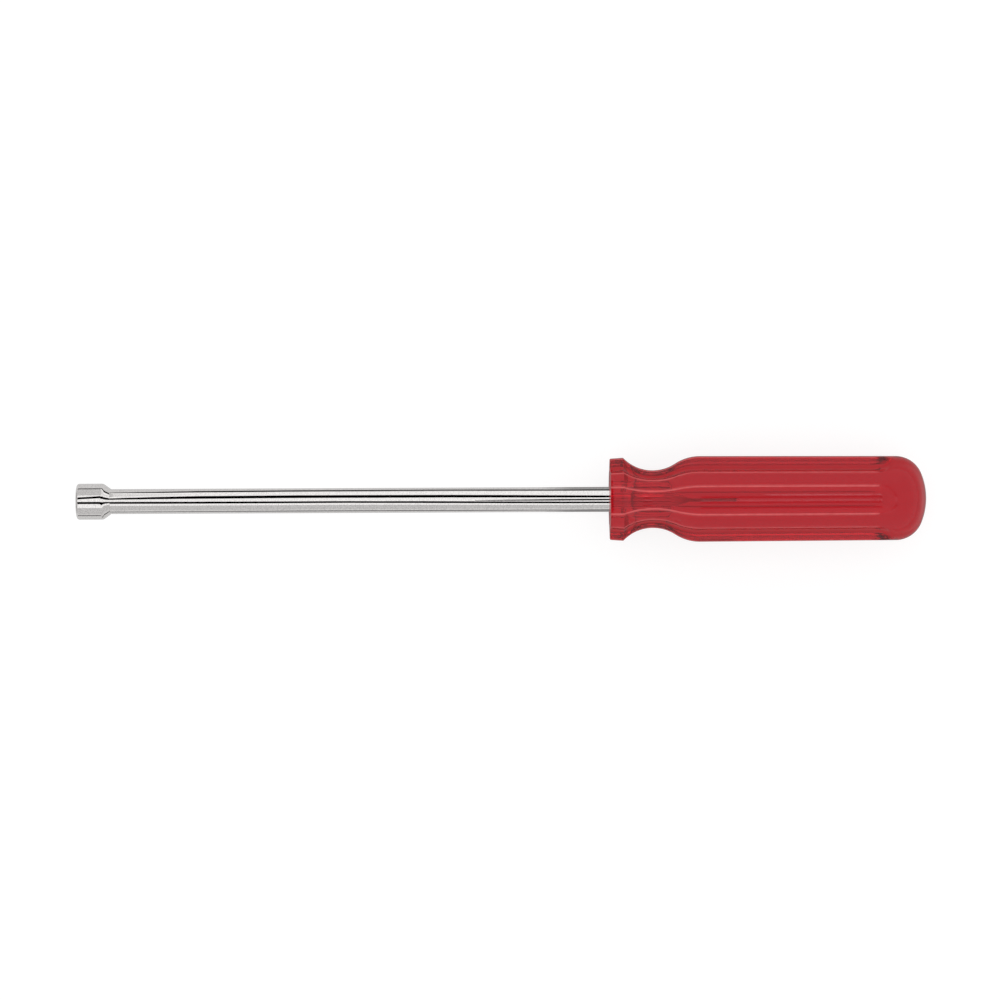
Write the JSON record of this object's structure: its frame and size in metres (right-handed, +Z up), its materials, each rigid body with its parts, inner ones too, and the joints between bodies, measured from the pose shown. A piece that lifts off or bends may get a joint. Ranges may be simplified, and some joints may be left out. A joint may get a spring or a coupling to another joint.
{
  "type": "nut driver",
  "caption": "Hand nut driver with a hex socket on a hollow plated shaft and a translucent red fluted handle with a necked collar and domed end.",
  "frame": {"origin": "centre of the socket's mouth, on the tool's axis", "axes": "+X along the tool's axis from the socket's mouth to the handle's dome, +Z up through the middle of a flute as the tool lies on a bench"},
  "size_m": [0.2431, 0.0246, 0.0242],
  "materials": {
    "socket_chrome": "bright plate over a turned surface",
    "shaft_chrome": "bright plate over drawn tube",
    "handle_plastic": "polished translucent moulding"
  },
  "bodies": {
    "root": {"socket": "socket_chrome", "shaft_tube": "shaft_chrome", "handle": "handle_plastic"}
  },
  "joints": []
}
